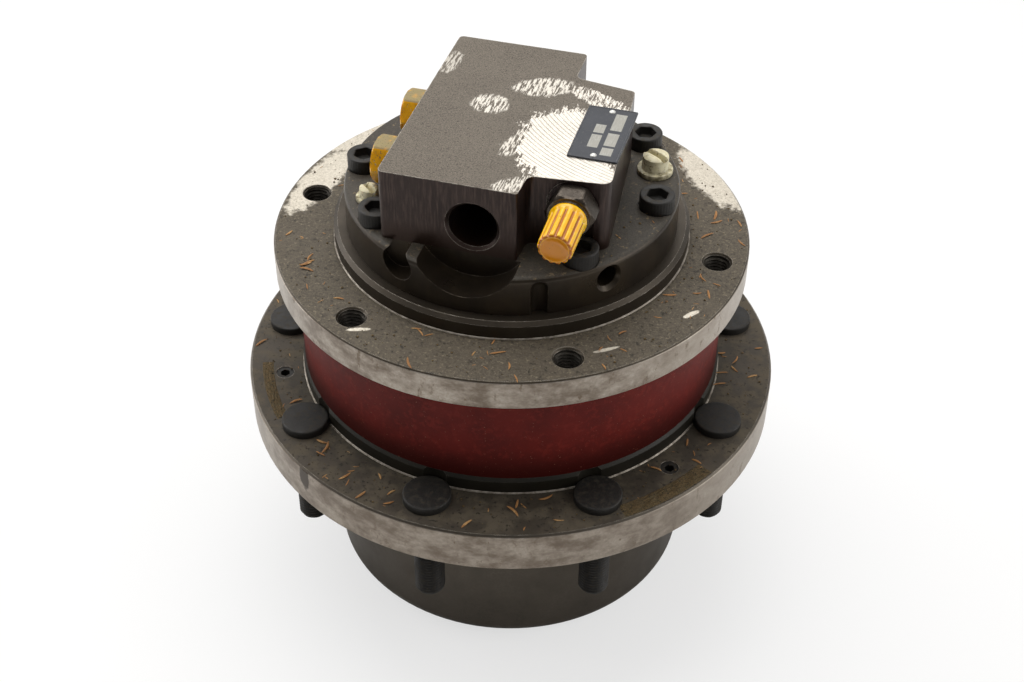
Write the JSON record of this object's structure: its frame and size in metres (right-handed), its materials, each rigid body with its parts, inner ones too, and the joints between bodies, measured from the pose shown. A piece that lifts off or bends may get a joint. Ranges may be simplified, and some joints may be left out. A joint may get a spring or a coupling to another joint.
{
  "type": "excavator final drive",
  "caption": "Track final drive: fixed hydraulic motor housing with frame flange and port block over a turning hub with sprocket flange, wheel studs and planetary drum.",
  "frame": {"origin": "centre of the end cover's outer face, which the drive stands on", "axes": "+Z along the turning axis from the end cover up to the port block; -Y faces the main port and the capped adapter"},
  "size_m": [0.29, 0.29, 0.2867],
  "materials": {
    "hub_primer": "satin",
    "turned_steel": "worn",
    "cover_iron": "rough",
    "black_steel": "matte",
    "gear_steel": "ground",
    "bearing_steel": "polished",
    "forged_steel": "machined",
    "bronze": "satin",
    "seal_rubber": "matte",
    "yellow_plastic": "gloss",
    "cream_plastic": "matte",
    "plate_black": "satin",
    "rivet_aluminium": "satin"
  },
  "bodies": {
    "housing": {"motor_housing": "turned_steel", "fixed_carrier": "forged_steel", "fixed_carrier_screws": "black_steel", "second_stage_pins": "bearing_steel", "second_stage_washers": "bearing_steel", "bearing_cones": "bearing_steel", "housing_face_seal": "bearing_steel", "housing_seal_rubber": "seal_rubber", "motor_cover": "cover_iron", "motor_cover_screws": "black_steel", "valve_plate": "bronze", "shaft_seal": "seal_rubber", "shaft_bearings": "bearing_steel", "brake_steel_plates": "forged_steel", "brake_spring": "bearing_steel", "swash_pivot_balls": "bearing_steel", "nameplate": "plate_black", "nameplate_rivets": "rivet_aluminium", "pilot_adapter": "forged_steel", "pilot_adapter_cap": "yellow_plastic", "side_port_plugs": "yellow_plastic", "drain_port_plugs": "cream_plastic", "spool_end_plugs": "forged_steel"},
    "hub": {"hub": "hub_primer", "ring_gear": "gear_steel", "ring_gear_pins": "bearing_steel", "end_cover": "cover_iron", "end_cover_snap_ring": "black_steel", "end_cover_o_ring": "seal_rubber", "oil_plugs": "black_steel", "thrust_button": "bearing_steel", "wheel_studs": "black_steel", "flange_set_screws": "black_steel", "bearing_cups": "bearing_steel", "hub_face_seal": "bearing_steel", "hub_seal_rubber": "seal_rubber"},
    "lower_roller_set": {"lower_bearing_rollers": "bearing_steel"},
    "upper_roller_set": {"upper_bearing_rollers": "bearing_steel"},
    "first_carrier": {"first_carrier": "forged_steel", "first_stage_pins": "bearing_steel", "second_sun_gear": "gear_steel"},
    "input_shaft": {"sun_shaft": "gear_steel", "drive_coupling": "forged_steel", "motor_shaft": "forged_steel", "cylinder_barrel": "forged_steel", "pistons": "forged_steel", "slipper_plate": "bronze", "brake_friction_plates": "bronze"},
    "swash_plate": {"swash_plate": "forged_steel"},
    "speed_piston": {"speed_piston": "bearing_steel"},
    "brake_piston": {"brake_piston": "bearing_steel"},
    "counterbalance_spool": {"counterbalance_spool": "bearing_steel"},
    "two_speed_spool": {"two_speed_spool": "bearing_steel"},
    "second_planet_1": {"second_stage_planet_1": "gear_steel"},
    "second_planet_2": {"second_stage_planet_2": "gear_steel"},
    "second_planet_3": {"second_stage_planet_3": "gear_steel"},
    "second_planet_4": {"second_stage_planet_4": "gear_steel"},
    "first_planet_1": {"first_stage_planet_1": "gear_steel"},
    "first_planet_2": {"first_stage_planet_2": "gear_steel"},
    "first_planet_3": {"first_stage_planet_3": "gear_steel"}
  },
  "joints": [
    {"name": "hub_spin", "type": "hinge", "parent": "housing", "child": "hub", "pos_m": [0, 0, 0.107], "axis": [0, 0, 1], "continuous": true},
    {"name": "lower_roller_orbit", "type": "hinge", "parent": "housing", "child": "lower_roller_set", "pos_m": [0, 0, 0.102], "axis": [0, 0, 1], "continuous": true},
    {"name": "upper_roller_orbit", "type": "hinge", "parent": "housing", "child": "upper_roller_set", "pos_m": [0, 0, 0.161], "axis": [0, 0, 1], "continuous": true},
    {"name": "first_carrier_spin", "type": "hinge", "parent": "housing", "child": "first_carrier", "pos_m": [0, 0, 0.0365], "axis": [0, 0, 1], "continuous": true},
    {"name": "second_planet_1_spin", "type": "hinge", "parent": "housing", "child": "second_planet_1", "pos_m": [0.05225, 0, 0.064], "axis": [0, 0, 1], "continuous": true},
    {"name": "second_planet_2_spin", "type": "hinge", "parent": "housing", "child": "second_planet_2", "pos_m": [0, 0.05225, 0.064], "axis": [0, 0, 1], "continuous": true},
    {"name": "second_planet_3_spin", "type": "hinge", "parent": "housing", "child": "second_planet_3", "pos_m": [-0.05225, 0, 0.064], "axis": [0, 0, 1], "continuous": true},
    {"name": "second_planet_4_spin", "type": "hinge", "parent": "housing", "child": "second_planet_4", "pos_m": [0, -0.05225, 0.064], "axis": [0, 0, 1], "continuous": true},
    {"name": "first_planet_1_spin", "type": "hinge", "parent": "first_carrier", "child": "first_planet_1", "pos_m": [0, 0.0495, 0.026], "axis": [0, 0, 1], "continuous": true},
    {"name": "first_planet_2_spin", "type": "hinge", "parent": "first_carrier", "child": "first_planet_2", "pos_m": [-0.04287, -0.02475, 0.026], "axis": [0, 0, 1], "continuous": true},
    {"name": "first_planet_3_spin", "type": "hinge", "parent": "first_carrier", "child": "first_planet_3", "pos_m": [0.04287, -0.02475, 0.026], "axis": [0, 0, 1], "continuous": true},
    {"name": "input_shaft_spin", "type": "hinge", "parent": "housing", "child": "input_shaft", "pos_m": [0, 0, 0.1809], "axis": [0, 0, 1], "continuous": true},
    {"name": "swash_tilt", "type": "hinge", "parent": "housing", "child": "swash_plate", "pos_m": [0, 0, 0.147], "axis": [1, 0, 0], "range_deg": [-7, 0]},
    {"name": "speed_piston_slide", "type": "slide", "parent": "housing", "child": "speed_piston", "axis": [0, 0, 1], "range_m": [0, 0.0034]},
    {"name": "brake_piston_slide", "type": "slide", "parent": "housing", "child": "brake_piston", "axis": [0, 0, 1], "range_m": [0, 0.0012], "stiffness_N_per_m": 20000, "springref_m": -0.001, "deforming": ["brake_spring"]},
    {"name": "counterbalance_spool_slide", "type": "slide", "parent": "housing", "child": "counterbalance_spool", "axis": [1, 0, 0], "range_m": [-0.006, 0.006]},
    {"name": "two_speed_spool_slide", "type": "slide", "parent": "housing", "child": "two_speed_spool", "axis": [0, 1, 0], "range_m": [0, 0.005]}
  ],
  "couplings": [
    {"joint": "lower_roller_orbit", "follows": "hub_spin", "ratio": 0.53525},
    {"joint": "upper_roller_orbit", "follows": "hub_spin", "ratio": 0.53525},
    {"joint": "first_carrier_spin", "follows": "hub_spin", "ratio": -3.75},
    {"joint": "second_planet_1_spin", "follows": "hub_spin", "ratio": 2.7273},
    {"joint": "second_planet_2_spin", "follows": "hub_spin", "ratio": 2.7273},
    {"joint": "second_planet_3_spin", "follows": "hub_spin", "ratio": 2.7273},
    {"joint": "second_planet_4_spin", "follows": "hub_spin", "ratio": 2.7273},
    {"joint": "first_planet_1_spin", "follows": "hub_spin", "ratio": 11.875},
    {"joint": "first_planet_2_spin", "follows": "hub_spin", "ratio": 11.875},
    {"joint": "first_planet_3_spin", "follows": "hub_spin", "ratio": 11.875},
    {"joint": "input_shaft_spin", "follows": "hub_spin", "ratio": -27.5},
    {"joint": "speed_piston_slide", "follows": "swash_tilt", "m_per_rad": -0.027791}
  ]
}
